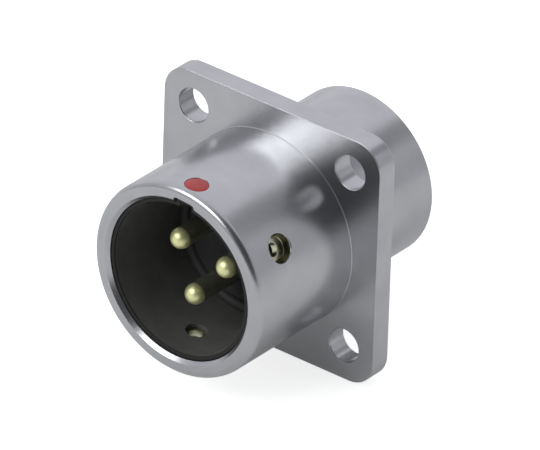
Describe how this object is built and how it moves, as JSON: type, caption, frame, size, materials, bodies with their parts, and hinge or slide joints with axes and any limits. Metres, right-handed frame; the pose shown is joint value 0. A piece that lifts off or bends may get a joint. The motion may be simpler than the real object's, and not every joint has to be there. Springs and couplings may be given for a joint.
{
  "type": "circular connector panel receptacle",
  "caption": "Square-flange panel receptacle of a keyed push-pull circular connector, with a satin chrome barrel, latch windows, gold ball-ended pins and rear solder cups.",
  "frame": {"origin": "on the connector's axis in the rear face of the flange, which seats on the panel", "axes": "-Y along the axis out of the mating bore, +Y out of the solder cups at the back, +Z towards the flange edge above the keyway and index dot, +X to the right seen from the mating face"},
  "size_m": [0.02, 0.0216, 0.02],
  "materials": {
    "satin_chrome": "satin pearl chrome plating on a machined shell",
    "red_enamel": "glossy enamel fill",
    "black_rubber": "matt moulded rubber",
    "black_insulator": "moulded thermoset, slight sheen",
    "bright_nickel": "turned, nickel plated",
    "gold_plating": "polished pale gold plating"
  },
  "bodies": {
    "root": {"receptacle_shell": "satin_chrome", "index_dot": "red_enamel", "bore_sleeve": "black_insulator", "interface_seal": "black_rubber", "front_insulator": "black_insulator", "rear_insulator": "black_insulator", "retaining_nut": "bright_nickel", "contact_pin_1": "gold_plating", "contact_pin_2": "gold_plating", "contact_pin_3": "gold_plating"}
  },
  "joints": []
}
